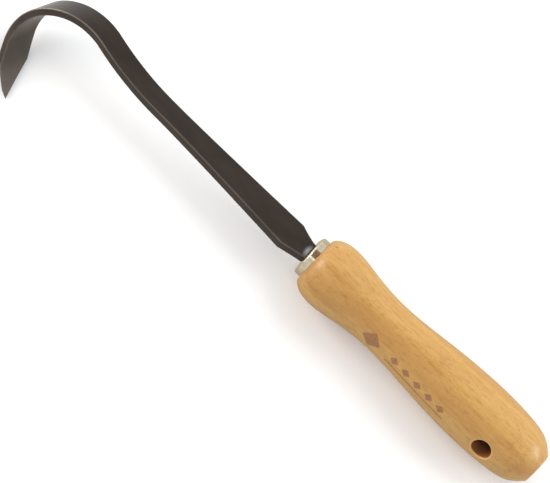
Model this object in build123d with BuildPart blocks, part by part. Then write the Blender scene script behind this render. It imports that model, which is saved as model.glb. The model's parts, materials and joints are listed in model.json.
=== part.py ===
"""Hoof knife: a steel strip blade with a hooked point, a plated ferrule and a turned beech handle."""
import os
from math import cos, radians, sin

from build123d import *

# Resting pose. The knife lies on its handle and on the point of its hook, so the blade's own frame
# (x towards the butt, y across the strip, z on the arched side) is rolled about the handle's axis.
lie_roll = 33.9
axis_height = 14.55
axis_x = 11.58
axis_y = 11.16

# Ferrule: a shallow drawn cap, slotted for the tang, over a tenon turned on the handle's nose.
ferrule_length = 4.0
ferrule_radius = 9.2
ferrule_mouth_radius = 5.3
ferrule_corner = 1.6
ferrule_wall = 1.0

# Handle: radii at the crowns, the waist and the butt, with their distances from the ferrule's front.
nose_radius = 9.4
crown_x = 14.1
crown_radius = 14.5
shoulder_fall_x = 26.2
shoulder_fall_radius = 13.0
waist_x = 41.5
waist_radius = 11.45
swell_x = 65.0
swell_radius = 12.9
rear_crown_x = 92.3
rear_crown_radius = 14.55
rear_fall_x = 111.7
rear_fall_radius = 13.7
heel_x = 121.4
heel_radius = 11.25
butt_x = 127.0
butt_radius = 6.4
butt_slope = -1.3
hang_hole_x = 104.6
hang_hole_radius = 4.4
hang_hole_rim = 0.9
hang_hole_cutter_half = 2 * rear_crown_radius

# Blade: one flat bar, drawn down to a neck and a tang, then bent cold. Lengths run along the strip.
tang_length = 58.0
tang_end_width = 4.0
neck_length = 9.7
neck_width = 9.8
neck_power = 1.2
neck_rise = 2.8
shoulder_width = 16.5
strip_width = 11.2
flare_length = 67.5
flare_power = 1.35
hook_widening = 0.034
bar_length = 73.4
bar_bend = 0.5
swan_length = 33.5
swan_bend = -18.3
crest_length = 31.5
crest_bend = 75.2
curl_length = 21.5
curl_bend = 73.6
point_length = 27.0
point_bend = 10.8
point_station = 186.3
point_near_corner = 168.2
point_far_corner = 170.5
point_bevel = 68.0
bevel_cut_length = 60.0
bevel_cut_height = 24.0
bevel_cut_depth = 14.0
thickness_at_neck = 3.6
thickness_at_point = 3.05
bar_roll = 1.2
straight_step = 9.0
bent_step = 2.8
station_tolerance = 0.01

swan_start = bar_length
crest_start = swan_start + swan_length
curl_start = crest_start + crest_length
point_start = curl_start + curl_length
strip_end = point_start + point_length

# The strip was bent over a former that lay askew to it: the angle between the bend line and square.
skew_knots = [
    (-neck_length, 0.0),
    (0.0, 7.6),
    (swan_start, 12.5),
    (crest_start, 18.2),
    ((crest_start + point_start) / 2, 15.3),
    (point_start, 28.5),
    (strip_end, 28.5),
]

turning = Plane(origin=(axis_x, axis_y, axis_height), x_dir=(1, 0, 0), z_dir=(0, -1, 0))
turning_axis = Axis(turning.origin, turning.x_dir)
tool = Plane(
    origin=(axis_x, axis_y, axis_height),
    x_dir=(1, 0, 0),
    z_dir=(0, sin(radians(lie_roll)), cos(radians(lie_roll))),
)


def between(knots, station):
    """Value at a station along the strip, straight from one knot to the next."""
    for (low, low_value), (high, high_value) in zip(knots, knots[1:]):
        if station <= high:
            share = (station - low) / (high - low)
            return low_value + share * (high_value - low_value)
    return knots[-1][1]


def width_at(station):
    """Width of the strip, measured square to its length, at a distance from the shoulder."""
    if station < 0:
        share = 1 + station / neck_length
        return neck_width + (shoulder_width - neck_width) * share**neck_power
    flare = max(0.0, 1 - station / flare_length) ** flare_power
    widening = hook_widening * max(0.0, station - crest_start)
    return strip_width + (shoulder_width - strip_width) * flare + widening


def thickness_at(station):
    """Thickness of the strip, which was drawn a little thinner towards its point."""
    share = max(0.0, station) / strip_end
    return thickness_at_neck + share * (thickness_at_point - thickness_at_neck)


def turned(vector, axis_direction, angle):
    """A direction turned about another direction, in degrees."""
    return vector.rotate(Axis((0, 0, 0), axis_direction), angle)


def bend_line(along, across, station):
    """Direction of the straight line in the strip's surface about which it is bent."""
    skew = radians(between(skew_knots, station))
    return across * cos(skew) - along * sin(skew)


def strip_stations():
    """Walk along the upper face from the ferrule to the point: station, centre and directions."""
    along = Vector(-1, 0, 0)
    across = turned(Vector(0, 1, 0), along, bar_roll)
    up = turned(Vector(0, 0, 1), along, bar_roll)
    centre = Vector(0, 0, thickness_at_neck / 2)
    station = -neck_length
    walked = [(station, centre, along, across, up)]
    stretches = [
        (neck_length, -neck_rise, bent_step),
        (bar_length, bar_bend, straight_step),
        (swan_length, swan_bend, bent_step),
        (crest_length, crest_bend, bent_step),
        (curl_length, curl_bend, bent_step),
        (point_length, point_bend, bent_step),
    ]
    for length, bend, step in stretches:
        count = round(length / step)
        for _ in range(count):
            line = bend_line(along, across, station + length / count / 2)
            turn = -bend / count
            centre = centre + turned(along, line, turn / 2) * (length / count)
            along = turned(along, line, turn)
            across = turned(across, line, turn)
            up = turned(up, line, turn)
            station += length / count
            walked.append((station, centre, along, across, up))
    return walked


def in_row(plane):
    """A plane given in the blade's own frame, carried to where the resting knife has it."""
    return Plane(tool.location * plane.location)


def ruling_width(station):
    """Width of the strip measured along its bend line."""
    return width_at(station) / cos(radians(between(skew_knots, station)))


stations = strip_stations()


def inner_face_point(target, side):
    """Point on the hook's inner face at a station: side -1 near edge, 0 middle, 1 far edge."""
    nearest = min(stations, key=lambda s: abs(s[0] - target))
    station, centre, along, across, up = nearest
    across_shift = bend_line(along, across, station) * (ruling_width(target) / 2 * side)
    return centre + along * (target - station) + across_shift - up * thickness_at(target)


def bevel_plane(corner, side):
    """Plane of the ground edge from a corner of the strip to its point, facing away from the steel."""
    point = inner_face_point(point_station, 0)
    edge = (point - corner).normalized()
    up = min(stations, key=lambda s: abs(s[0] - point_station))[4]
    outward = edge.cross(up) * side
    slope = radians(point_bevel)
    return in_row(Plane(origin=point, x_dir=edge, z_dir=outward * sin(slope) + up * cos(slope)))


with BuildPart() as blade:
    for low, high in ((-neck_length, 0), (0, swan_start), (swan_start, strip_end)):
        for station, centre, along, across, up in stations:
            if low - station_tolerance < station < high + station_tolerance:
                line = bend_line(along, across, station)
                middle = centre - up * (thickness_at(station) / 2)
                with BuildSketch(in_row(Plane(origin=middle, x_dir=line, z_dir=line.cross(up)))):
                    Rectangle(ruling_width(station), thickness_at(station))
        loft()
    for corner_station, side in ((point_near_corner, -1), (point_far_corner, 1)):
        with BuildSketch(bevel_plane(inner_face_point(corner_station, side), side)):
            Rectangle(bevel_cut_length, bevel_cut_height)
        extrude(amount=bevel_cut_depth, mode=Mode.SUBTRACT)
    with BuildSketch(tool.offset(-thickness_at_neck / 2)):
        with BuildLine():
            Polyline(
                (0, -neck_width / 2),
                (tang_length, -tang_end_width / 2),
                (tang_length, tang_end_width / 2),
                (0, neck_width / 2),
                close=True,
            )
        make_face()
    extrude(amount=thickness_at_neck)

with BuildPart() as ferrule:
    with BuildSketch(turning):
        with BuildLine():
            Polyline(
                (ferrule_corner, ferrule_radius),
                (ferrule_length, ferrule_radius),
                (ferrule_length, ferrule_radius - ferrule_wall),
                (ferrule_wall, ferrule_radius - ferrule_wall),
                (ferrule_wall, 0),
                (0, 0),
                (0, ferrule_mouth_radius),
            )
            EllipticalCenterArc(
                (ferrule_corner, ferrule_mouth_radius),
                x_radius=ferrule_corner,
                y_radius=ferrule_radius - ferrule_mouth_radius,
                start_angle=90,
                arc_size=90,
            )
        make_face()
    revolve(axis=turning_axis)
    add(blade.part, mode=Mode.SUBTRACT)

with BuildPart() as handle:
    with BuildSketch(turning):
        with BuildLine():
            Polyline(
                (butt_x, butt_radius),
                (butt_x, 0),
                (ferrule_wall, 0),
                (ferrule_wall, ferrule_radius - ferrule_wall),
                (ferrule_length, ferrule_radius - ferrule_wall),
                (ferrule_length, nose_radius),
            )
            EllipticalCenterArc(
                (crown_x, nose_radius),
                x_radius=crown_x - ferrule_length,
                y_radius=crown_radius - nose_radius,
                start_angle=90,
                arc_size=90,
            )
            Spline(
                (crown_x, crown_radius),
                (shoulder_fall_x, shoulder_fall_radius),
                (waist_x, waist_radius),
                (swell_x, swell_radius),
                (rear_crown_x, rear_crown_radius),
                (rear_fall_x, rear_fall_radius),
                (heel_x, heel_radius),
                (butt_x, butt_radius),
                tangents=[(1, 0), (1, butt_slope)],
            )
        make_face()
    revolve(axis=turning_axis)
    with BuildSketch(in_row(Plane.XZ.offset(-hang_hole_cutter_half))):
        with Locations((hang_hole_x, 0)):
            Circle(hang_hole_radius)
    extrude(amount=2 * hang_hole_cutter_half, mode=Mode.SUBTRACT)
    hang_hole_wall = handle.faces().filter_by(GeomType.CYLINDER).sort_by(turning_axis)[-1]
    fillet(hang_hole_wall.edges().filter_by(GeomType.LINE, reverse=True), hang_hole_rim)
    add(blade.part, mode=Mode.SUBTRACT)

os.makedirs("parts", exist_ok=True)
blade.part.label = "blade"
ferrule.part.label = "ferrule"
handle.part.label = "handle"
export_step(blade.part, "parts/blade.step")
export_step(ferrule.part, "parts/ferrule.step")
export_step(handle.part, "parts/handle.step")
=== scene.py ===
"""Hoof knife: a hooked strip blade, a plated ferrule and a turned beech handle, with its studio."""

import json
from math import atan2, cos, hypot, pi, radians, sin, sqrt

import bmesh
import bpy
from mathutils import Matrix, Quaternion, Vector


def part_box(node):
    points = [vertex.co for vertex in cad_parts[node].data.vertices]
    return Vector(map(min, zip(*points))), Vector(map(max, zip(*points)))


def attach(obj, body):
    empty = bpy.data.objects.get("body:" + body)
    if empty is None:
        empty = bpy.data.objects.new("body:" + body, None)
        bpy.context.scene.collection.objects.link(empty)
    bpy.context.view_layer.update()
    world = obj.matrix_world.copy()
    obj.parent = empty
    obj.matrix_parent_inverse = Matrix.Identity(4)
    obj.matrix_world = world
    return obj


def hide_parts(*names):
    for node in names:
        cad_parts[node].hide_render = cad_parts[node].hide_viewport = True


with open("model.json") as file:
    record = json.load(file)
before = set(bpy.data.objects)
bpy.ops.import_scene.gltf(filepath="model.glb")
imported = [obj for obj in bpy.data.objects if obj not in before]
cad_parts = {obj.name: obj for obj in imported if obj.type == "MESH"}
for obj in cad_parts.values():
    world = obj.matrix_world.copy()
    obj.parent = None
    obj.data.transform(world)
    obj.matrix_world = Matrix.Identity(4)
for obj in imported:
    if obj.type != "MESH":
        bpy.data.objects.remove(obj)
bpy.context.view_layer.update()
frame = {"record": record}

# The meshes are made in the knife's own frame, in millimetres: x from the ferrule's front towards the
# butt, y across the strip, z on the side that the hook arches to. knife_frame carries them to the row.
MM = 0.001
mounts = {mount["name"]: mount for mount in frame["record"]["mounts"]}
hang_hole = mounts["hang_hole"]
handle_low, handle_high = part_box("handle")
ferrule_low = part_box("ferrule")[0]
origin = Vector((ferrule_low.x, (handle_low.y + handle_high.y) / 2, (handle_low.z + handle_high.z) / 2))
knife_x = Vector((1, 0, 0))
knife_y = Vector(hang_hole["axis"]).normalized()
knife_z = knife_x.cross(knife_y)
knife_frame = Matrix.Translation(origin) @ Matrix((knife_x, knife_y, knife_z)).transposed().to_4x4()

# Ferrule: a drawn cap; its face is flat for a little outside its mouth, and its back edge is softened.
FERRULE_LENGTH = 4.0
FERRULE_RADIUS = 9.2
FERRULE_MOUTH_RADIUS = 5.3
FERRULE_CORNER = 1.6
FERRULE_WALL = 1.0
FERRULE_EDGE = 0.16
FERRULE_FACE = 0.35
FERRULE_HEM = 0.7
TENON_CHAMFER = 0.4
SLOT_CLEARANCE = 0.14

# Handle: (distance from the ferrule's front, radius) where the turner's gauge would be set.
NOSE_RADIUS = 9.4
CROWN = (14.1, 14.5)
BODY = [CROWN, (26.2, 13.0), (41.5, 11.45), (65.0, 12.9), (92.3, 14.55), (111.7, 13.7), (121.4, 11.25)]
BUTT = (127.0, 6.4)
BUTT_SLOPE = -1.3
BUTT_ROUND = 0.9
BUTT_RINGS = (4.2, 2.6, 1.2)
SKIN = 0.02
HOLE_X = hang_hole["pos_m"][0] / MM - origin.x / MM
HOLE_RADIUS = hang_hole["dims"]["r_mm"]
HOLE_RIM = 0.9

# Fit of the pieces: gaps at the tenon, the tang's socket and the ferrule's seat, the seat's rounded edge
# along x and across it, and the first turned ring round the slot, on the tenon and inside the ferrule.
TENON_PLAY = 0.05
SOCKET_PLAY = 0.02
SOCKET_END_PLAY = 0.05
SEAT_PLAY = 0.02
SEAT_ROUND = (0.05, 0.10)
SLOT_RING_RADIUS = 6.2

# Blade: one flat bar, drawn down to a neck and a tang. Stations run along the strip from the shoulder.
TANG_LENGTH = 58.0
TANG_END_WIDTH = 4.0
TANG_ROWS = (40.0, 20.0)
TANG_ROOT = 4.0
NECK_LENGTH = 9.7
NECK_WIDTH = 9.8
NECK_RISE = 2.8
SHOULDER_WIDTH = 16.5
STRIP_WIDTH = 11.2
FLARE_LENGTH = 67.5
FLARE_POWER = 1.35
NECK_POWER = 1.2
HOOK_WIDENING = 0.034
THICKNESS_AT_NECK = 3.6
THICKNESS_AT_POINT = 3.05
BAR_ROLL = 1.2
ARRIS = 0.34
ARRIS_MARGIN = 0.3
ARRIS_SIDE_WEAR = 0.55
COARSE_STEP = 9.0
FINE_STEP = 2.8
STRETCHES = {
    "neck": (NECK_LENGTH, -NECK_RISE, FINE_STEP),
    "bar": (73.4, 0.5, COARSE_STEP),
    "swan": (33.5, -18.3, FINE_STEP),
    "crest": (31.5, 75.2, FINE_STEP),
    "curl": (21.5, 73.6, FINE_STEP),
    "point": (27.0, 10.8, FINE_STEP),
}
SWAN_START = STRETCHES["bar"][0]
CREST_START = SWAN_START + STRETCHES["swan"][0]
POINT_START = CREST_START + STRETCHES["crest"][0] + STRETCHES["curl"][0]
STRIP_END = POINT_START + STRETCHES["point"][0]
SKEW_KNOTS = [
    (-NECK_LENGTH, 0.0),
    (0.0, 7.6),
    (SWAN_START, 12.5),
    (CREST_START, 18.2),
    ((CREST_START + POINT_START) / 2, 15.3),
    (POINT_START, 28.5),
    (STRIP_END, 28.5),
]
POINT_STATION = 186.3
POINT_CORNERS = ((168.2, -1), (170.5, 1))
POINT_BEVEL = 68.0
CUT_FROM = 150.0
HOOK_WEAR_START = 95.0
HOOK_WEAR_LENGTH = 30.0
BAR_WEAR = 0.38
HOOK_WEAR_GAIN = 0.72
UNDERSIDE_WEAR = 0.25

# How far the steel is lightened at a station, partly rubbed bare and partly a painted reflection of the
# bright surroundings: on the hook's inner face, then on the strip's two sides.
RUBBED_AND_REFLECTION_KNOTS = [
    (CREST_START, 0.0),
    (140.0, 0.9),
    (150.0, 1.0),
    (154.0, 0.72),
    (159.0, 0.36),
    (169.0, 0.33),
    (175.0, 0.52),
    (181.0, 0.66),
    (187.0, 0.60),
]
FLANK_RUBBED_AND_REFLECTION_KNOTS = [(-NECK_LENGTH, 0.21), (100.0, 0.21), (125.0, 0.20), (187.0, 0.15)]

# The painted highlight on the neck's upper face, a pale patch that stands in for the ferrule's
# reflection: its place and its reach, along the strip and across it.
NECK_HIGHLIGHT_STATION = -9.4
NECK_HIGHLIGHT_SIDE = -1.0
NECK_HIGHLIGHT_REACH = (2.0, 4.8)


# ---------------------------------------------------------------- shader nodes


def new_material(name):
    """An empty node material, with its tree and its Principled shader."""
    material = bpy.data.materials.new(name)
    material.use_nodes = True
    tree = material.node_tree
    tree.nodes.clear()
    shader = tree.nodes.new("ShaderNodeBsdfPrincipled")
    output = tree.nodes.new("ShaderNodeOutputMaterial")
    tree.links.new(shader.outputs["BSDF"], output.inputs["Surface"])
    return material, tree, shader


def feed(tree, socket, value):
    """Joins a socket to another node's output, or sets its own value."""
    if isinstance(value, bpy.types.NodeSocket):
        tree.links.new(value, socket)
    else:
        socket.default_value = value


def add(tree, kind, inputs, **settings):
    """A node with its settings and its inputs, by name or number."""
    node = tree.nodes.new(kind)
    for name, value in settings.items():
        setattr(node, name, value)
    for name, value in inputs.items():
        feed(tree, node.inputs[name], value)
    return node


def maths(tree, operation, first, second=0.0, third=0.0):
    node = add(tree, "ShaderNodeMath", {0: first, 1: second, 2: third}, operation=operation)
    return node.outputs[0]


def ramp(tree, value, low, high, start=0.0, end=1.0):
    """A smooth step from start to end as value goes from low to high."""
    inputs = {"Value": value, "From Min": low, "From Max": high, "To Min": start, "To Max": end}
    node = add(tree, "ShaderNodeMapRange", inputs, interpolation_type="SMOOTHSTEP", clamp=True)
    return node.outputs["Result"]


def mix(tree, share, first, second):
    """Two colours mixed by a share."""
    return add(tree, "ShaderNodeMix", {0: share, 6: first, 7: second}, data_type="RGBA").outputs[2]


def vector_maths(tree, operation, first, second):
    node = add(tree, "ShaderNodeVectorMath", {0: first, 1: second}, operation=operation)
    return node.outputs["Vector"]


def noise(tree, place, scale=1.0, detail=3.0, roughness=0.5, distortion=0.0):
    inputs = {
        "Vector": place,
        "Scale": scale,
        "Detail": detail,
        "Roughness": roughness,
        "Distortion": distortion,
    }
    return add(tree, "ShaderNodeTexNoise", inputs).outputs["Fac"]


def stretched(tree, place, scales, shift=(0.0, 0.0, 0.0)):
    """Coordinates scaled along the knife's x, y and z."""
    inputs = {"Vector": place, "Scale": scales, "Location": shift}
    return add(tree, "ShaderNodeMapping", inputs).outputs["Vector"]


def knife_coordinates(tree):
    """The knife's own coordinates, in metres."""
    row_place = tree.nodes.new("ShaderNodeTexCoord").outputs["Object"]
    shift, turn, _ = knife_frame.inverted().decompose()
    inputs = {"Vector": row_place, "Location": shift, "Rotation": turn.to_euler()}
    return add(tree, "ShaderNodeMapping", inputs).outputs["Vector"]


def painted(tree, name):
    """A value that the mesh code stored at each vertex."""
    return add(tree, "ShaderNodeAttribute", {}, attribute_name=name).outputs["Fac"]


def bump(tree, height, strength, distance):
    inputs = {"Height": height, "Strength": strength, "Distance": distance}
    return add(tree, "ShaderNodeBump", inputs).outputs["Normal"]


# ---------------------------------------------------------------- materials

BEECH_PALE = (0.530, 0.302, 0.080, 1)
BEECH_WARM = (0.448, 0.226, 0.053, 1)
BEECH_FLECK = (0.26, 0.105, 0.022, 1)
BEECH_FIBRE = (0.36, 0.155, 0.032, 1)
BEECH_END = (0.38, 0.17, 0.045, 1)
BEECH_RIM = (0.66, 0.40, 0.17, 1)
# Painted shade inside the hang hole: warm brown at its mouth, dark deeper in.
BORE_MOUTH_SHADE = (0.34, 0.13, 0.035, 1)
BORE_DEEP_SHADE = (0.10, 0.028, 0.010, 1)
PRINT_BROWN = (0.27, 0.110, 0.038, 1)
KNOT_RED = (0.24, 0.065, 0.022, 1)
FLECK_SHARE = 0.45
END_GRAIN_SHARE = 0.55
RIM_SHARE = 0.8
KNOT_SHARE = 0.6
GRAIN_DRIFT = 0.0016

# The pin knot, in metres: its place, and one over its reach along x, y and z.
KNOT_PLACE = (0.0069, 0.0008, 0.0128)
KNOT_CLOSENESS = (700, 1400, 1400)

# The printed ornament, in metres on the handle's near side: x along the handle, z round it.
LARGE_LOZENGE_PLACE = (0.0425, 0.0002)
LARGE_LOZENGE_HALVES = (0.0048, 0.0042)
SMALL_LOZENGE_PITCH = 0.0066
SMALL_LOZENGE_Z = 0.0009
SMALL_LOZENGE_HALVES = (0.0023, 0.0019)
LINE_BELOW_AXIS = 0.0024
LINE_HALF_WIDTH = (0.00035, 0.0005)
ROW_START = (0.0514, 0.0518)
ROW_END = (0.0846, 0.0850)
NEAR_SIDE = (-0.003, -0.004)


def diamond(tree, x, z, place, halves):
    """1 inside a lozenge on the near side of the handle, 0 outside, in metres."""
    reach = []
    for axis, middle, half in zip((x, z), place, halves):
        away = maths(tree, "ABSOLUTE", maths(tree, "SUBTRACT", axis, middle))
        reach.append(maths(tree, "DIVIDE", away, half))
    return ramp(tree, maths(tree, "ADD", *reach), 0.93, 1.05, 1.0, 0.0)


def printed_band(tree, place):
    """A plain printed ornament: one lozenge, then a row of smaller ones over a thin line."""
    x, y, z = add(tree, "ShaderNodeSeparateXYZ", {"Vector": place}).outputs
    large = diamond(tree, x, z, LARGE_LOZENGE_PLACE, LARGE_LOZENGE_HALVES)
    half_pitch = SMALL_LOZENGE_PITCH / 2
    wrapped = maths(tree, "PINGPONG", maths(tree, "SUBTRACT", x, ROW_START[1]), half_pitch)
    small = diamond(tree, wrapped, z, (half_pitch, SMALL_LOZENGE_Z), SMALL_LOZENGE_HALVES)
    off_line = maths(tree, "ABSOLUTE", maths(tree, "ADD", z, LINE_BELOW_AXIS))
    line = ramp(tree, off_line, *LINE_HALF_WIDTH, 1.0, 0.0)
    row = maths(tree, "MAXIMUM", small, line)
    row = maths(tree, "MULTIPLY", row, ramp(tree, x, *ROW_START))
    row = maths(tree, "MULTIPLY", row, ramp(tree, x, *ROW_END, 1.0, 0.0))
    mark = maths(tree, "MAXIMUM", large, row)
    return maths(tree, "MULTIPLY", mark, ramp(tree, y, *NEAR_SIDE))


def pin_knot(tree, place):
    """A small reddish pin knot on top of the handle's nose."""
    away = vector_maths(tree, "SUBTRACT", place, KNOT_PLACE)
    scaled = vector_maths(tree, "MULTIPLY", away, KNOT_CLOSENESS)
    distance = add(tree, "ShaderNodeVectorMath", {0: scaled}, operation="LENGTH").outputs["Value"]
    return ramp(tree, distance, 0.35, 1.2, 1.0, 0.0)


def beech():
    """Clear-lacquered beech: pale tan, warm bands, fine fibres and short dark flecks along x."""
    material, tree, shader = new_material("lacquered_beech")
    place = knife_coordinates(tree)
    bands = noise(tree, stretched(tree, place, (9, 130, 130)), detail=3, roughness=0.55, distortion=0.4)
    colour = mix(tree, ramp(tree, bands, 0.36, 0.66), BEECH_PALE, BEECH_WARM)
    # The fibres wander a little from the handle's axis.
    waver = add(tree, "ShaderNodeTexNoise", {"Vector": place, "Scale": 160.0, "Detail": 2.0})
    drift = vector_maths(tree, "MULTIPLY", waver.outputs["Color"], (0.0, GRAIN_DRIFT, GRAIN_DRIFT))
    wavy = vector_maths(tree, "ADD", place, drift)
    streaks = noise(tree, stretched(tree, wavy, (150, 1150, 1150)), detail=5, roughness=0.62)
    colour = mix(tree, ramp(tree, streaks, 0.47, 0.70, 0.0, 0.62), colour, BEECH_FIBRE)
    fibres = noise(tree, stretched(tree, wavy, (420, 4200, 4200)), detail=4, roughness=0.6)
    colour = mix(tree, ramp(tree, fibres, 0.48, 0.72, 0.0, 0.40), colour, BEECH_FIBRE)
    # Flecks are the hearts of some of the long cells, and come in patches.
    cell_inputs = {"Vector": stretched(tree, wavy, (300, 2100, 2100)), "Scale": 1.0, "Randomness": 1.0}
    cells = add(tree, "ShaderNodeTexVoronoi", cell_inputs, feature="F1")
    chosen = add(tree, "ShaderNodeSeparateColor", {"Color": cells.outputs["Color"]}).outputs[0]
    spindle = ramp(tree, cells.outputs["Distance"], 0.20, 0.46, 1.0, 0.0)
    patches = noise(tree, stretched(tree, place, (45, 160, 160), shift=(3, 1, 2)), detail=2)
    patchy = ramp(tree, patches, 0.38, 0.62)
    fleck = maths(tree, "MULTIPLY", spindle, ramp(tree, chosen, 0.30, 0.75))
    fleck = maths(tree, "MULTIPLY", fleck, maths(tree, "MULTIPLY_ADD", patchy, 0.7, 0.3))
    colour = mix(tree, maths(tree, "MULTIPLY", fleck, FLECK_SHARE), colour, BEECH_FLECK)
    end_grain = maths(tree, "MULTIPLY", painted(tree, "end_grain"), END_GRAIN_SHARE)
    colour = mix(tree, end_grain, colour, BEECH_END)
    mottle = ramp(tree, noise(tree, place, 1500.0, detail=3, roughness=0.6), 0.30, 0.55, 0.55, 0.95)
    mark = maths(tree, "MULTIPLY", printed_band(tree, place), mottle)
    colour = mix(tree, mark, colour, PRINT_BROWN)
    colour = mix(tree, maths(tree, "MULTIPLY", painted(tree, "rim"), RIM_SHARE), colour, BEECH_RIM)
    colour = mix(tree, maths(tree, "MULTIPLY", pin_knot(tree, place), KNOT_SHARE), colour, KNOT_RED)
    # Painted shade in the hang hole, darkest halfway down the bore, which is also rougher.
    bore_shade = painted(tree, "bore_shade")
    bore_shaded = mix(tree, ramp(tree, bore_shade, 0.55, 1.0), BORE_MOUTH_SHADE, BORE_DEEP_SHADE)
    colour = mix(tree, ramp(tree, bore_shade, 0.0, 0.4), colour, bore_shaded)
    tree.links.new(colour, shader.inputs["Base Color"])
    rough = ramp(tree, fibres, 0.2, 0.8, 0.40, 0.50)
    tree.links.new(maths(tree, "MULTIPLY_ADD", bore_shade, 0.3, rough), shader.inputs["Roughness"])
    grain = maths(tree, "SUBTRACT", fibres, maths(tree, "MULTIPLY", fleck, 0.6))
    height = maths(tree, "ADD", grain, streaks)
    tree.links.new(bump(tree, height, strength=0.22, distance=0.00006), shader.inputs["Normal"])
    shader.inputs["Specular IOR Level"].default_value = 0.3
    shader.inputs["Coat Weight"].default_value = 0.6
    shader.inputs["Coat Roughness"].default_value = 0.3
    return material


STEEL_DARK = (0.0120, 0.0066, 0.0038, 1)
STEEL_BROWN = (0.0185, 0.0110, 0.0068, 1)
# Painted highlight colour for the patch on the neck's upper face.
STEEL_PAINTED_HIGHLIGHT = (0.36, 0.37, 0.39, 1)
STEEL_WORN = (0.25, 0.215, 0.175, 1)
# Rubbed steel colour, which also serves as a painted reflection on the hook's inner face and the sides.
STEEL_RUBBED_AND_REFLECTED = (0.140, 0.115, 0.094, 1)
PAINTED_HIGHLIGHT_MIX = 0.9
BARE_METALLIC = 0.6


def oxide_steel():
    """Dark brown oxide on steel, rubbed through along its arrises, with a painted reflection on the
    hook's inner face and sides and a painted highlight on the neck.
    """
    material, tree, shader = new_material("brown_oxide_steel")
    place = knife_coordinates(tree)
    cloud = noise(tree, stretched(tree, place, (60, 120, 120)), detail=4, roughness=0.6, distortion=0.3)
    fine = noise(tree, place, 1400.0, detail=4, roughness=0.65)
    drawn = noise(tree, stretched(tree, place, (90, 2600, 2600)), detail=3, roughness=0.6)
    colour = mix(tree, ramp(tree, cloud, 0.35, 0.7), STEEL_DARK, STEEL_BROWN)
    worn = maths(tree, "MULTIPLY", painted(tree, "wear"), ramp(tree, cloud, 0.25, 0.6, 0.55, 1.0))
    worn = maths(tree, "MULTIPLY", worn, ramp(tree, fine, 0.25, 0.55, 0.6, 1.0))
    # Rubbed steel and painted reflection: lighter on the hook's inner face and on the strip's sides.
    rubbed_and_reflection = maths(tree, "MULTIPLY", painted(tree, "rubbed_and_reflection"), ramp(tree, cloud, 0.25, 0.65, 0.75, 1.0))
    colour = mix(tree, rubbed_and_reflection, colour, STEEL_RUBBED_AND_REFLECTED)
    colour = mix(tree, worn, colour, STEEL_WORN)
    # Painted highlight: a pale bluish patch on the neck, which also makes the steel there metallic.
    neck_highlight = maths(tree, "MULTIPLY", painted(tree, "neck_highlight"), PAINTED_HIGHLIGHT_MIX)
    colour = mix(tree, neck_highlight, colour, STEEL_PAINTED_HIGHLIGHT)
    tree.links.new(colour, shader.inputs["Base Color"])
    bare = maths(tree, "MULTIPLY", maths(tree, "MAXIMUM", worn, neck_highlight), BARE_METALLIC)
    tree.links.new(bare, shader.inputs["Metallic"])
    tree.links.new(ramp(tree, fine, 0.2, 0.8, 0.27, 0.36), shader.inputs["Roughness"])
    height = maths(tree, "ADD", maths(tree, "MULTIPLY", fine, 0.7), drawn)
    tree.links.new(bump(tree, height, strength=0.2, distance=0.00003), shader.inputs["Normal"])
    shader.inputs["IOR"].default_value = 1.39
    shader.inputs["Specular Tint"].default_value = (1.0, 0.94, 0.89, 1)
    return material


GROUND_STEEL = (0.19, 0.165, 0.145, 1)
GROUND_DARK = (0.09, 0.075, 0.065, 1)


def ground_steel():
    """The two ground edges of the point: bare steel with fine grinding lines."""
    material, tree, shader = new_material("ground_steel")
    place = knife_coordinates(tree)
    lines = noise(tree, stretched(tree, place, (3500, 300, 300)), detail=3, roughness=0.6)
    colour = mix(tree, ramp(tree, lines, 0.35, 0.65), GROUND_STEEL, GROUND_DARK)
    tree.links.new(colour, shader.inputs["Base Color"])
    tree.links.new(ramp(tree, lines, 0.3, 0.7, 0.30, 0.42), shader.inputs["Roughness"])
    tree.links.new(bump(tree, lines, strength=0.2, distance=0.00004), shader.inputs["Normal"])
    shader.inputs["Metallic"].default_value = 0.8
    return material


PLATE = (0.78, 0.69, 0.53, 1)
PLATE_DULL = (0.62, 0.53, 0.38, 1)


def nickel_plate():
    """Slightly warm nickel plate, brushed round, with dull spots."""
    material, tree, shader = new_material("warm_nickel_plate")
    place = knife_coordinates(tree)
    rings = noise(tree, stretched(tree, place, (4200, 160, 160)), detail=3, roughness=0.6)
    stain = noise(tree, place, 330.0, detail=4, roughness=0.6)
    colour = mix(tree, ramp(tree, stain, 0.42, 0.68, 0.0, 0.7), PLATE, PLATE_DULL)
    tree.links.new(colour, shader.inputs["Base Color"])
    tree.links.new(ramp(tree, stain, 0.3, 0.7, 0.11, 0.2), shader.inputs["Roughness"])
    tree.links.new(bump(tree, rings, strength=0.12, distance=0.00003), shader.inputs["Normal"])
    shader.inputs["Metallic"].default_value = 1.0
    return material


FLOOR_GREY = (0.90, 0.90, 0.90, 1)
FLOOR_WHITE = (0.92, 0.92, 0.92, 1)


def pale_floor():
    material, tree, shader = new_material("pale_floor")
    tone = noise(tree, knife_coordinates(tree), 3.0, detail=2)
    tree.links.new(mix(tree, tone, FLOOR_GREY, FLOOR_WHITE), shader.inputs["Base Color"])
    shader.inputs["Roughness"].default_value = 0.9
    shader.inputs["Specular IOR Level"].default_value = 0.1
    return material


# ---------------------------------------------------------------- mesh helpers


def finished_mesh(name, bm, sharp_angle):
    """Turns a bmesh into a smooth mesh with crisp edges above an angle, in degrees."""
    bmesh.ops.recalc_face_normals(bm, faces=bm.faces)
    mesh = bpy.data.meshes.new(name)
    bm.to_mesh(mesh)
    bm.free()
    mesh.shade_smooth()
    mesh.set_sharp_from_angle(angle=radians(sharp_angle))
    return mesh


def clamped(value):
    return max(0.0, min(1.0, value))


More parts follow.
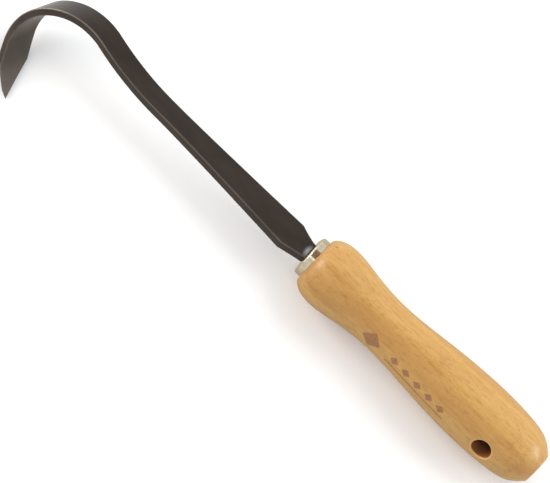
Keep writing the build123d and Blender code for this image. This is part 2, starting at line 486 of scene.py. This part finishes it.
def add_piece(name, mesh, materials, node):
    """Puts a mesh in place as the piece that stands for a node of the frame."""
    piece = bpy.data.objects.new(name, mesh)
    bpy.context.scene.collection.objects.link(piece)
    for material in materials:
        mesh.materials.append(material)
    mesh.transform(knife_frame)
    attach(piece, "root")
    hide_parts(node)


def bridge(bm, first, second):
    """Quads between two closed loops of vertices with the same count."""
    faces = []
    for here in range(len(first)):
        after = (here + 1) % len(first)
        faces.append(bm.faces.new((first[here], first[after], second[after], second[here])))
    return faces


def loop_at(bm, points):
    """A loop of vertices at points given in millimetres."""
    return [bm.verts.new(Vector(point) * MM) for point in points]


# Mesh counts: points round a ring, cells on a short end of the slot, rings on the nose and the corner.
LATHE_COUNT = 96
SLOT_END_CELLS = 12
NOSE_CELLS = 20
CORNER_RING_CELLS = 16


def ring_points(x, radius):
    """A turned ring: its angle runs from the y axis."""
    step = 2 * pi / LATHE_COUNT
    return [(x, radius * cos(step * k), radius * sin(step * k)) for k in range(LATHE_COUNT)]


def slot_points(x, half_width, half_height):
    """The tang's rectangle, with as many points as a turned ring and its corners among them."""
    short, long = SLOT_END_CELLS, LATHE_COUNT // 2 - SLOT_END_CELLS
    points = []
    for k in range(LATHE_COUNT):
        side, step = divmod((k + short // 2) % LATHE_COUNT, short + long)
        sign = -1 if side else 1
        if step <= short:
            points.append((x, sign * half_width, sign * half_height * (2 * step / short - 1)))
        else:
            share = (step - short) / long
            points.append((x, sign * half_width * (1 - 2 * share), sign * half_height))
    return points


def tang_half_width(x):
    share = max(0.0, x) / TANG_LENGTH
    return (NECK_WIDTH + (TANG_END_WIDTH - NECK_WIDTH) * share) / 2


def quarter(centre, radii, start, count):
    """Points on a quarter of an ellipse that turns clockwise from an angle in degrees."""
    for k in range(count + 1):
        angle = radians(start - 90 * k / count)
        yield centre[0] + radii[0] * cos(angle), centre[1] + radii[1] * sin(angle)


# ---------------------------------------------------------------- handle


def spline_through(points, start_slope, end_slope):
    """A smooth curve through points, as a function from the share of its length to (x, radius)."""
    knots = [0.0]
    for (x0, r0), (x1, r1) in zip(points, points[1:]):
        knots.append(knots[-1] + hypot(x1 - x0, r1 - r0))
    ends = []
    for slope in (start_slope, end_slope):
        scale = hypot(1, slope)
        ends.append((1 / scale, slope / scale))
    tangents = [list(ends[0])] + [[0.0, 0.0] for _ in points[2:]] + [list(ends[1])]
    for axis in range(2):
        # The inner tangents make the curvature continuous: a small tridiagonal system.
        upper, right = [0.0], [tangents[0][axis]]
        for k in range(1, len(points) - 1):
            before = knots[k] - knots[k - 1]
            after = knots[k + 1] - knots[k]
            rise = 3 * (points[k][axis] - points[k - 1][axis]) * after / before
            rise += 3 * (points[k + 1][axis] - points[k][axis]) * before / after
            pivot = 2 * (before + after) - after * upper[-1]
            upper.append(before / pivot)
            right.append((rise - after * right[-1]) / pivot)
        value = tangents[-1][axis]
        for k in range(len(points) - 2, 0, -1):
            value = right[k] - upper[k] * value
            tangents[k][axis] = value

    def at(share):
        distance = share * knots[-1]
        k = max(i for i in range(len(points) - 1) if knots[i] <= distance)
        span = knots[k + 1] - knots[k]
        t = (distance - knots[k]) / span
        place = []
        for axis in range(2):
            place.append(
                (2 * t**3 - 3 * t**2 + 1) * points[k][axis]
                + (t**3 - 2 * t**2 + t) * span * tangents[k][axis]
                + (3 * t**2 - 2 * t**3) * points[k + 1][axis]
                + (t**3 - t**2) * span * tangents[k + 1][axis]
            )
        return place

    return at


BODY_SAMPLES = 600
body_curve = spline_through(BODY + [BUTT], 0.0, BUTT_SLOPE)
body_samples = [body_curve(k / BODY_SAMPLES) for k in range(BODY_SAMPLES + 1)]


def body_radius(x):
    """Radius of the handle at a distance from the ferrule's front, between the crown and the butt."""
    for (x0, r0), (x1, r1) in zip(body_samples, body_samples[1:]):
        if x <= x1:
            return r0 + (r1 - r0) * (x - x0) / (x1 - x0)
    return body_samples[-1][1]


# The handle's rings, the square patches that its hang hole is let into, and the end grain tint and the
# painted shade in the bore round it.
BODY_ROWS = 70
HEEL_ROWS = 16
HEEL_ROUND_SHARE = 0.95
HEEL_ROUND_RINGS = 5
BUTT_FLAT_SHARE = 0.75
PATCH_HALF = 8.0
PATCH_ROWS = 14
PATCH_COLUMNS = 18
PATCH_RINGS = 4
RIM_RINGS = 6
BORE_RINGS = 14
END_GRAIN_FROM = 0.55
END_GRAIN_SPAN = 0.4
BORE_SHADE_AT_MOUTH = 0.4
BORE_SHADE_RISE = 1.6

# The bruise beside the hole's near mouth: its middle in x and z, its reach in both, and its depth.
DENT_CENTRE = (HOLE_X - HOLE_RADIUS - 0.75, 0.5)
DENT_REACH = (1.5, 3.0)
DENT_DEPTH = 0.42


def body_rows():
    """Distances of the turned rings: even along the body and the hole's patch, closer at the heel."""
    before = [CROWN[0] + (HOLE_X - PATCH_HALF - CROWN[0]) * k / BODY_ROWS for k in range(BODY_ROWS)]
    patch = [HOLE_X - PATCH_HALF + 2 * PATCH_HALF * k / PATCH_ROWS for k in range(PATCH_ROWS)]
    heel_start = HOLE_X + PATCH_HALF
    heel_length = BUTT[0] - BUTT_ROUND * HEEL_ROUND_SHARE - heel_start
    heel = [heel_start + heel_length * sin(pi / 2 * k / HEEL_ROWS) for k in range(HEEL_ROWS + 1)]
    return before, patch, heel


def surface_height(x, z):
    """Distance of the turned surface from the plane of the knife's x and z axes."""
    return sqrt(max(0.0, (body_radius(x) - SKIN) ** 2 - z * z))


def patch_perimeter(first_row):
    """Row and column offsets round the patch that the hang hole's mouth is let into."""
    half = PATCH_COLUMNS // 2
    steps = [(0, d) for d in range(-half, half)]
    steps += [(r, half) for r in range(PATCH_ROWS)]
    steps += [(PATCH_ROWS, d) for d in range(half, -half, -1)]
    steps += [(r, -half) for r in range(PATCH_ROWS, 0, -1)]
    return [(first_row + r, d) for r, d in steps]


def rim_dent(x, z):
    """Depth of the small bruise that the drill left beside the near mouth of the hole."""
    away = hypot((x - DENT_CENTRE[0]) / DENT_REACH[0], (z - DENT_CENTRE[1]) / DENT_REACH[1])
    return DENT_DEPTH * max(0.0, 1 - away * away) ** 2


def let_in_hole(bm, rings, first_row, bore_shade_layer, rim_layer):
    """Fills the two patches with rings that close in on the hole, rounds its rims and bores it."""
    mouths = []
    for side in (1, -1):
        outline = []
        angles = []
        for row, offset in patch_perimeter(first_row):
            column = offset if side == 1 else LATHE_COUNT // 2 - offset
            vertex = rings[row][column % LATHE_COUNT]
            outline.append(vertex)
            angles.append(atan2(vertex.co.z / MM, vertex.co.x / MM - HOLE_X))
        rim = HOLE_RADIUS + HOLE_RIM
        loop = outline
        for step in range(1, PATCH_RINGS + 1):
            share = step / PATCH_RINGS
            points = []
            for vertex, angle in zip(outline, angles):
                x = (1 - share) * vertex.co.x / MM + share * (HOLE_X + rim * cos(angle))
                z = (1 - share) * vertex.co.z / MM + share * rim * sin(angle)
                dent = rim_dent(x, z) if side == -1 else 0.0
                points.append((x, side * (surface_height(x, z) - dent), z))
            following = loop_at(bm, points)
            bridge(bm, loop, following)
            loop = following
        for step in range(1, RIM_RINGS + 1):
            turn = pi / 2 * step / RIM_RINGS
            radius = HOLE_RADIUS + HOLE_RIM * (1 - sin(turn))
            points = []
            for angle in angles:
                x, z = HOLE_X + radius * cos(angle), radius * sin(angle)
                dent = rim_dent(x, z) if side == -1 else 0.0
                depth = HOLE_RIM * (1 - cos(turn)) + dent
                points.append((x, side * (surface_height(x, z) - depth), z))
            following = loop_at(bm, points)
            bridge(bm, loop, following)
            for vertex in following:
                # Painted shade starts on the inner half of the rim's round.
                vertex[bore_shade_layer] = BORE_SHADE_AT_MOUTH * max(0.0, step / RIM_RINGS * 2 - 1) ** 2
                vertex[rim_layer] = sin(pi * step / RIM_RINGS)
            loop = following
        mouths.append(loop)
    far, near = mouths
    loop = far
    for step in range(1, BORE_RINGS):
        share = (1 - cos(pi * step / BORE_RINGS)) / 2
        points = [(a.co * (1 - share) + b.co * share) / MM for a, b in zip(far, near)]
        following = loop_at(bm, points)
        bridge(bm, loop, following)
        for vertex in following:
            # Painted shade deepens towards the middle of the bore.
            vertex[bore_shade_layer] = min(1.0, BORE_SHADE_AT_MOUTH + BORE_SHADE_RISE * min(share, 1 - share))
        loop = following
    bridge(bm, loop, near)


def make_handle():
    bm = bmesh.new()
    bore_shade_layer = bm.verts.layers.float.new("bore_shade")
    rim_layer = bm.verts.layers.float.new("rim")
    end_layer = bm.verts.layers.float.new("end_grain")
    # From the bottom of the tang's slot forwards, then over the tenon and the nose.
    slot_half_height = THICKNESS_AT_NECK / 2 + SOCKET_PLAY
    tenon_front = FERRULE_WALL + TENON_PLAY
    tenon_radius = FERRULE_RADIUS - FERRULE_WALL - TENON_PLAY
    loops = []
    for x in (TANG_LENGTH + SOCKET_END_PLAY, *TANG_ROWS, tenon_front):
        loops.append(loop_at(bm, slot_points(x, tang_half_width(x) + SOCKET_PLAY, slot_half_height)))
    bm.faces.new(loops[0])
    seat = FERRULE_LENGTH + SEAT_PLAY
    seat_edge = NOSE_RADIUS - SEAT_PLAY
    nose_reach = (CROWN[0] - FERRULE_LENGTH, CROWN[1] - NOSE_RADIUS)
    front_rings = [
        (tenon_front, SLOT_RING_RADIUS),
        (tenon_front, tenon_radius - TENON_CHAMFER),
        (tenon_front + TENON_CHAMFER, tenon_radius),
        (seat, tenon_radius),
        (seat, seat_edge - SEAT_ROUND[1]),
        (seat + SEAT_ROUND[0], seat_edge),
    ]
    front_rings += list(quarter((CROWN[0], NOSE_RADIUS), nose_reach, 180, NOSE_CELLS))[1:-1]
    for x, radius in front_rings:
        loops.append(loop_at(bm, ring_points(x, radius - SKIN)))
    for first, second in zip(loops, loops[1:]):
        bridge(bm, first, second)
    before, patch, heel = body_rows()
    rows = before + patch + heel
    rings = [loop_at(bm, ring_points(x, body_radius(x) - SKIN)) for x in rows]
    bridge(bm, loops[-1], rings[0])
    first_row = len(before)
    half = PATCH_COLUMNS // 2
    for row in range(len(rows) - 1):
        for column in range(LATHE_COUNT):
            after = (column + 1) % LATHE_COUNT
            in_rows = first_row <= row < first_row + PATCH_ROWS
            far_side = -half <= (column + half) % LATHE_COUNT - half < half
            near_side = LATHE_COUNT // 2 - half <= column < LATHE_COUNT // 2 + half
            if in_rows and (far_side or near_side):
                continue
            here, there = rings[row], rings[row + 1]
            bm.faces.new((here[column], here[after], there[after], there[column]))
    let_in_hole(bm, rings, first_row, bore_shade_layer, rim_layer)
    # The heel ends in a small round and the flat butt.
    heel_radius = body_radius(rows[-1])
    loop = rings[-1]
    round_start = rows[-1]
    flat_radius = BUTT[1] - BUTT_ROUND * BUTT_FLAT_SHARE
    end_rings = []
    for k in range(1, HEEL_ROUND_RINGS + 1):
        angle = pi / 2 * (k / HEEL_ROUND_RINGS)
        x = round_start + (BUTT[0] - SKIN - round_start) * sin(angle)
        end_rings.append((x, heel_radius - SKIN - (heel_radius - flat_radius) * (1 - cos(angle))))
    end_rings += [(BUTT[0] - SKIN, radius) for radius in BUTT_RINGS]
    for x, radius in end_rings:
        following = loop_at(bm, ring_points(x, radius))
        bridge(bm, loop, following)
        loop = following
    centre = bm.verts.new(Vector((BUTT[0] - SKIN, 0, 0)) * MM)
    for k in range(LATHE_COUNT):
        bm.faces.new((loop[k], loop[(k + 1) % LATHE_COUNT], centre))
    # End grain shows where the surface faces along the handle.
    bmesh.ops.recalc_face_normals(bm, faces=bm.faces)
    bm.normal_update()
    for vertex in bm.verts:
        facing_end = clamped((abs(vertex.normal.x) - END_GRAIN_FROM) / END_GRAIN_SPAN)
        vertex[end_layer] = facing_end * (1 - vertex[bore_shade_layer])
    mesh = finished_mesh("beech_handle", bm, sharp_angle=50)
    add_piece("beech_handle", mesh, [beech()], "handle")


# ---------------------------------------------------------------- ferrule


def make_ferrule():
    bm = bmesh.new()
    outer = FERRULE_RADIUS - SKIN
    inner = FERRULE_RADIUS - FERRULE_WALL
    slot_half = (NECK_WIDTH / 2 + SLOT_CLEARANCE, THICKNESS_AT_NECK / 2 + SLOT_CLEARANCE)
    edge = FERRULE_EDGE
    section = [(SKIN, FERRULE_MOUTH_RADIUS + FERRULE_FACE)]
    corner_reach = (FERRULE_CORNER - SKIN, outer - FERRULE_MOUTH_RADIUS)
    corner = quarter((FERRULE_CORNER, FERRULE_MOUTH_RADIUS), corner_reach, 180, CORNER_RING_CELLS)
    section += list(corner)[2:]
    back = FERRULE_LENGTH - SKIN
    section += [
        (back - FERRULE_HEM, outer),
        (back - edge / 3, outer),
        (back, outer - edge / 3),
        (back, inner + edge),
        (back - edge, inner),
        (FERRULE_WALL + TENON_CHAMFER, inner),
        (FERRULE_WALL, inner - TENON_CHAMFER),
        (FERRULE_WALL, SLOT_RING_RADIUS),
    ]
    front = loop_at(bm, slot_points(SKIN + edge, *slot_half))
    lip = loop_at(bm, slot_points(SKIN, slot_half[0] + edge, slot_half[1] + edge))
    behind = loop_at(bm, slot_points(FERRULE_WALL, *slot_half))
    loops = [front, lip] + [loop_at(bm, ring_points(x, radius)) for x, radius in section] + [behind]
    for first, second in zip(loops, loops[1:] + loops[:1]):
        bridge(bm, first, second)
    mesh = finished_mesh("plated_ferrule", bm, sharp_angle=40)
    add_piece("plated_ferrule", mesh, [nickel_plate()], "ferrule")


# ---------------------------------------------------------------- blade


def between(knots, station):
    """Value at a station along the strip, straight from one knot to the next."""
    for (low, low_value), (high, high_value) in zip(knots, knots[1:]):
        if station <= high:
            return low_value + (station - low) / (high - low) * (high_value - low_value)
    return knots[-1][1]


def width_at(station):
    """Width of the strip, measured square to its length."""
    if station < 0:
        share = max(0.0, 1 + station / NECK_LENGTH)
        return NECK_WIDTH + (SHOULDER_WIDTH - NECK_WIDTH) * share**NECK_POWER
    flare = max(0.0, 1 - station / FLARE_LENGTH) ** FLARE_POWER
    widening = HOOK_WIDENING * max(0.0, station - CREST_START)
    return STRIP_WIDTH + (SHOULDER_WIDTH - STRIP_WIDTH) * flare + widening


def thickness_at(station):
    share = max(0.0, station) / STRIP_END
    return THICKNESS_AT_NECK + share * (THICKNESS_AT_POINT - THICKNESS_AT_NECK)


def turned(vector, axis_direction, angle):
    """A direction turned about another, in degrees."""
    return Quaternion(axis_direction, radians(angle)) @ vector


def bend_line(along, across, station):
    """The straight line in the strip's surface about which it is bent."""
    skew = radians(between(SKEW_KNOTS, station))
    return across * cos(skew) - along * sin(skew)


def ruling_width(station):
    """Width of the strip measured along its bend line."""
    return width_at(station) / cos(radians(between(SKEW_KNOTS, station)))


ROW_SPACING = 0.6


def strip_walk():
    """Walk along the upper face from the ferrule to the point: station, centre and directions."""
    along = Vector((-1, 0, 0))
    across = turned(Vector((0, 1, 0)), along, BAR_ROLL)
    up = turned(Vector((0, 0, 1)), along, BAR_ROLL)
    centre = Vector((0, 0, THICKNESS_AT_NECK / 2))
    station = -NECK_LENGTH
    walked = [(station, centre, along, across, up)]
    for length, bend, step in STRETCHES.values():
        count = round(length / step)
        rows = max(1, round(length / count / ROW_SPACING))
        for _ in range(count):
            line = bend_line(along, across, station + length / count / 2)
            turn = -bend / count / rows
            advance = length / count / rows
            for _ in range(rows):
                centre = centre + turned(along, line, turn / 2) * advance
                along = turned(along, line, turn)
                across = turned(across, line, turn)
                up = turned(up, line, turn)
                station += advance
                walked.append((station, centre, along, across, up))
    return walked


FACE_CELLS = 12
SIDE_CELLS = 2
CORNER_CELLS = 3


def strip_outline(width, thickness):
    """The bar's section with softened arrises: (across, below the upper face, wear) round it."""
    side = width / 2 - ARRIS
    outline = []
    corners = [
        ((-side, thickness - ARRIS), 90, 180),
        ((-side, ARRIS), 180, 270),
        ((side, ARRIS), 270, 360),
        ((side, thickness - ARRIS), 0, 90),
    ]
    for index, ((cx, cz), start, end) in enumerate(corners):
        for k in range(CORNER_CELLS + 1):
            angle = radians(start + (end - start) * k / CORNER_CELLS)
            wear = 1.0 if 0 < k < CORNER_CELLS else ARRIS_SIDE_WEAR
            outline.append((cx + ARRIS * cos(angle), cz + ARRIS * sin(angle), wear))
        here = outline[-1]
        following = corners[(index + 1) % 4]
        angle = radians(following[1])
        there = (following[0][0] + ARRIS * cos(angle), following[0][1] + ARRIS * sin(angle))
        run, rise = there[0] - here[0], there[1] - here[1]
        cells = SIDE_CELLS if index % 2 == 0 else FACE_CELLS
        margin = ARRIS_MARGIN / hypot(run, rise)
        for k in range(cells + 1):
            share = margin + (1 - 2 * margin) * k / cells
            outline.append((here[0] + run * share, here[1] + rise * share, 0.0))
    return outline


def edge_wear(station, below, wear):
    """How far an arris is worn: more on the hook, less on the strip's under side."""
    hooked = clamped((station - HOOK_WEAR_START) / HOOK_WEAR_LENGTH)
    arched = 1.0 if below < ARRIS * 2 else UNDERSIDE_WEAR
    return wear * (BAR_WEAR + HOOK_WEAR_GAIN * hooked) * arched


def rubbed_and_reflection_share(station, sideways, below, width):
    """How far the steel is lightened, partly rubbed bare and partly a painted reflection, on the strip's
    sides and in the last fifth of its depth.
    """
    if abs(sideways) > width / 2 - ARRIS / 2:
        return between(FLANK_RUBBED_AND_REFLECTION_KNOTS, station)
    return between(RUBBED_AND_REFLECTION_KNOTS, station) * clamped(5 * (below / thickness_at(station)) - 4)


def neck_highlight_share(station, sideways, below):
    """How strong the painted highlight on the neck's upper face is."""
    if below >= ARRIS / 4:
        return 0.0
    along_reach = (station - NECK_HIGHLIGHT_STATION) / NECK_HIGHLIGHT_REACH[0]
    across_reach = (sideways - NECK_HIGHLIGHT_SIDE) / NECK_HIGHLIGHT_REACH[1]
    away = hypot(along_reach, across_reach)
    return max(0.0, 1 - away * away) ** 2


def make_blade():
    bm = bmesh.new()
    wear_layer = bm.verts.layers.float.new("wear")
    rubbed_reflection_layer = bm.verts.layers.float.new("rubbed_and_reflection")
    neck_highlight_layer = bm.verts.layers.float.new("neck_highlight")
    station_layer = bm.verts.layers.float.new("station")
    walk = strip_walk()
    _, neck_end, *neck_axes = walk[0]
    tang = []
    for x in (TANG_LENGTH, *TANG_ROWS, TANG_ROOT):
        tang.append((-NECK_LENGTH - x, neck_end + Vector((x, 0, 0)), *neck_axes))
    loops = []
    for row, (station, centre, along, across, up) in enumerate(tang + walk):
        line = bend_line(along, across, max(station, -NECK_LENGTH))
        if row < len(tang):
            width = 2 * tang_half_width(-NECK_LENGTH - station)
        else:
            width = ruling_width(station)
        loop = []
        for sideways, below, wear in strip_outline(width, thickness_at(station)):
            vertex = bm.verts.new((centre + line * sideways - up * below) * MM)
            vertex[wear_layer] = edge_wear(station, below, wear)
            vertex[rubbed_reflection_layer] = rubbed_and_reflection_share(station, sideways, below, width)
            vertex[neck_highlight_layer] = neck_highlight_share(station, sideways, below)
            vertex[station_layer] = station
            loop.append(vertex)
        loops.append(loop)
    for one, other in zip(loops, loops[1:]):
        bridge(bm, one, other)
    bm.faces.new(loops[0])
    bm.faces.new(list(reversed(loops[-1])))
    grind_point(bm, walk, station_layer)
    mesh = finished_mesh("hooked_blade", bm, sharp_angle=32)
    add_piece("hooked_blade", mesh, [oxide_steel(), ground_steel()], "blade")


def inner_face_point(walk, target, side):
    """Point on the hook's inner face at a station: side -1 near edge, 0 middle, 1 far edge."""
    station, centre, along, across, up = min(walk, key=lambda row: abs(row[0] - target))
    shift = bend_line(along, across, station) * (ruling_width(target) / 2 * side)
    return centre + along * (target - station) + shift - up * thickness_at(target)


def grind_point(bm, walk, station_layer):
    """Cuts the strip's end to its point with two ground bevels."""
    tip = inner_face_point(walk, POINT_STATION, 0)
    up = min(walk, key=lambda row: abs(row[0] - POINT_STATION))[4]
    for corner_station, side in POINT_CORNERS:
        edge = (tip - inner_face_point(walk, corner_station, side)).normalized()
        outward = edge.cross(up) * side
        slope = radians(POINT_BEVEL)
        normal = outward * sin(slope) + up * cos(slope)
        verts = [v for v in bm.verts if v[station_layer] > CUT_FROM]
        chosen = set(verts)
        edges = [e for e in bm.edges if e.verts[0] in chosen and e.verts[1] in chosen]
        faces = [f for f in bm.faces if all(v in chosen for v in f.verts)]
        cut = bmesh.ops.bisect_plane(
            bm,
            geom=verts + edges + faces,
            dist=1e-6,
            plane_co=tip * MM,
            plane_no=normal,
            clear_outer=True,
        )
        rim = [item for item in cut["geom_cut"] if isinstance(item, bmesh.types.BMEdge)]
        filled = bmesh.ops.edgeloop_fill(bm, edges=rim, mat_nr=1)
        for face in filled["faces"]:
            face.material_index = 1


# ---------------------------------------------------------------- studio

VIEW_TILT = 11.4
IMAGE_TURN = 43.35
LENS = 400.0
CAMERA_DISTANCE = 2.464
CAMERA_REACH = 50.0
LOOK_AT = Vector((-0.0012, 0.0056, 0.0134))
FLOOR_CELLS = 12
FLOOR_HALF = 9.0
FLOOR_DROP = 0.0001
WORLD_WHITE = (1.0, 1.0, 1.0, 1)
WORLD_STRENGTH = 0.78

# Light colours: a cool key and fill, and warm lights at the hook's end.
KEY_COLOUR = (0.95, 1.0, 1.02)
FILL_COLOUR = (0.93, 1.0, 1.03)
LEFT_COLOUR = (1.0, 0.93, 0.89)
STRIP_COLOUR = (1.0, 0.95, 0.91)
NEUTRAL = (1.0, 1.0, 1.0)

# Reflection cards: two close tones each, and the height of the ones that lie on the floor.
CARD_BROWN = ((0.155, 0.105, 0.068, 1), (0.195, 0.135, 0.088, 1))
CARD_GREY = ((0.44, 0.425, 0.37, 1), (0.50, 0.485, 0.43, 1))
CARD_LIFT = 0.0004


def studio_axes():
    """The picture's right, up and towards-the-camera directions."""
    tilt, turn = radians(VIEW_TILT), radians(IMAGE_TURN)
    back = Vector((0, -sin(tilt), cos(tilt)))
    over = Vector((0, cos(tilt), sin(tilt)))
    right = Vector((1, 0, 0)) * cos(turn) + over * sin(turn)
    up = over * cos(turn) - Vector((1, 0, 0)) * sin(turn)
    return right, up, back


def make_camera():
    right, up, back = studio_axes()
    data = bpy.data.cameras.new("camera")
    data.lens = LENS
    camera = bpy.data.objects.new("camera", data)
    bpy.context.scene.collection.objects.link(camera)
    turn = Matrix((right, up, back)).transposed().to_4x4()
    camera.matrix_world = Matrix.Translation(LOOK_AT + back * CAMERA_DISTANCE) @ turn
    data.clip_end = CAMERA_REACH
    bpy.context.scene.camera = camera


def make_floor():
    bm = bmesh.new()
    bmesh.ops.create_grid(bm, x_segments=FLOOR_CELLS, y_segments=FLOOR_CELLS, size=FLOOR_HALF)
    mesh = bpy.data.meshes.new("floor")
    bm.to_mesh(mesh)
    bm.free()
    mesh.materials.append(pale_floor())
    floor = bpy.data.objects.new("floor", mesh)
    floor.location.z = -FLOOR_DROP
    bpy.context.scene.collection.objects.link(floor)


def softbox(name, direction, distance, size, watts, colour, reflected=True):
    """An area light that faces the knife from a direction, in or out of its reflections."""
    data = bpy.data.lights.new(name, "AREA")
    data.shape = "RECTANGLE"
    data.size, data.size_y = size
    data.energy = watts
    data.color = colour
    light = bpy.data.objects.new(name, data)
    bpy.context.scene.collection.objects.link(light)
    towards = Vector(direction).normalized()
    light.location = LOOK_AT + towards * distance
    light.rotation_mode = "QUATERNION"
    light.rotation_quaternion = towards.to_track_quat("Z", "Y")
    light.visible_glossy = reflected


def from_camera(over_angle, side_angle):
    """Direction from the knife, turned from the camera over the handle and then towards the butt."""
    back = studio_axes()[2]
    over = Vector((1, 0, 0)).cross(back) * -1
    lifted = back * cos(radians(over_angle)) + over * sin(radians(over_angle))
    return lifted * cos(radians(side_angle)) + Vector((1, 0, 0)) * sin(radians(side_angle))


def make_card(name, place, size, colours):
    """A card that is seen only in the knife's reflections, to shade them."""
    material, tree, shader = new_material(name)
    tone = noise(tree, knife_coordinates(tree), 2.0, detail=2)
    tree.links.new(mix(tree, tone, *colours), shader.inputs["Base Color"])
    shader.inputs["Roughness"].default_value = 0.9
    bm = bmesh.new()
    bmesh.ops.create_grid(bm, x_segments=4, y_segments=4, size=0.5)
    bm.transform(place @ Matrix.Diagonal((*size, 1, 1)))
    mesh = bpy.data.meshes.new(name)
    bm.to_mesh(mesh)
    bm.free()
    mesh.materials.append(material)
    card = bpy.data.objects.new(name, mesh)
    bpy.context.scene.collection.objects.link(card)
    for kind in ("camera", "diffuse", "transmission", "volume_scatter", "shadow"):
        setattr(card, "visible_" + kind, False)


def make_cards():
    """A brown card beside the camera, and grey ones on the floor at the knife's two sides."""
    towards = from_camera(24.3, 0)
    turn = towards.to_track_quat("Z", "Y").to_matrix().to_4x4()
    beside_camera = Matrix.Translation(LOOK_AT + towards * 1.2) @ turn
    make_card("brown_card", beside_camera, (1.2, 0.95), CARD_BROWN)
    make_card("near_card", Matrix.Translation((0, -0.19, CARD_LIFT)), (0.5, 0.38), CARD_GREY)
    make_card("far_card", Matrix.Translation((0.47, 0.82, CARD_LIFT)), (1.06, 1.6), CARD_GREY)


def make_studio():
    world = bpy.data.worlds.new("studio")
    bpy.context.scene.world = world
    world.use_nodes = True
    background = world.node_tree.nodes["Background"]
    background.inputs["Color"].default_value = WORLD_WHITE
    background.inputs["Strength"].default_value = WORLD_STRENGTH
    # Directions are (degrees over the handle, degrees towards the butt) from the camera.
    softbox("key", from_camera(66, 0), 1.5, (2.4, 1.6), 9.6, KEY_COLOUR, reflected=False)
    softbox("key_fill", from_camera(50, 10), 1.7, (1.2, 0.8), 6.8, FILL_COLOUR, reflected=False)
    softbox("left", from_camera(2, -56), 1.4, (0.62, 0.62), 8.5, LEFT_COLOUR)
    softbox("left_strip", from_camera(2, -76), 1.4, (2.0, 0.4), 3.4, STRIP_COLOUR)
    softbox("right", from_camera(73, 55), 1.4, (0.62, 0.52), 6.0, NEUTRAL)
    softbox("glint", from_camera(-3.6, 0), 1.3, (0.4, 0.05), 0.2, NEUTRAL)
    make_cards()
    bpy.context.scene.view_settings.view_transform = "Standard"


make_handle()
make_ferrule()
make_blade()
make_floor()
make_studio()
make_camera()
